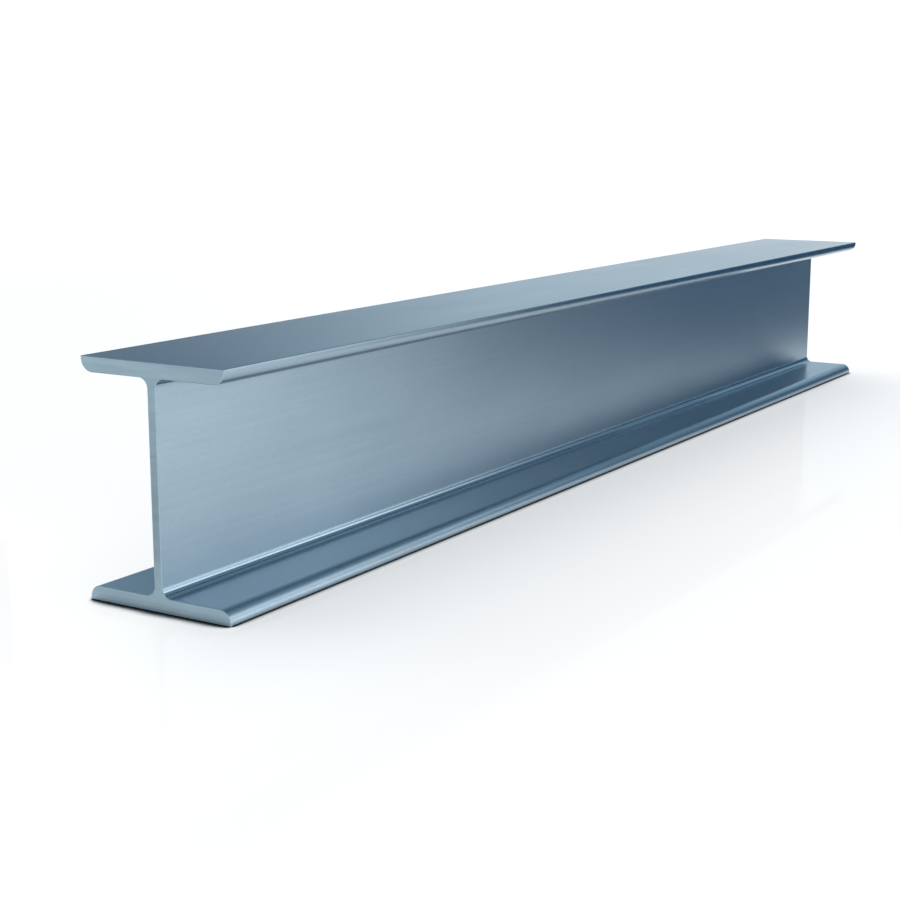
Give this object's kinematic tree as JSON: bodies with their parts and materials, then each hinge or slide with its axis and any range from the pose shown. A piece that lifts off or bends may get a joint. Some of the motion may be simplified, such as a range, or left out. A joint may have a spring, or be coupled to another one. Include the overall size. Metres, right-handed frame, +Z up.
{
  "type": "steel i-beam",
  "caption": "Rolled steel I-beam with parallel flanges, filleted web roots and rounded flange toes, sawn square at both ends, for carrying load in a building frame.",
  "frame": {"origin": "middle of the lower flange's underside, at half the beam's length", "axes": "+X along the beam, +Y across the flanges, +Z up from the lower flange to the upper one"},
  "size_m": [3, 0.29, 0.4],
  "materials": {
    "steel": "satin"
  },
  "bodies": {
    "root": {"i_beam": "steel"}
  },
  "joints": []
}
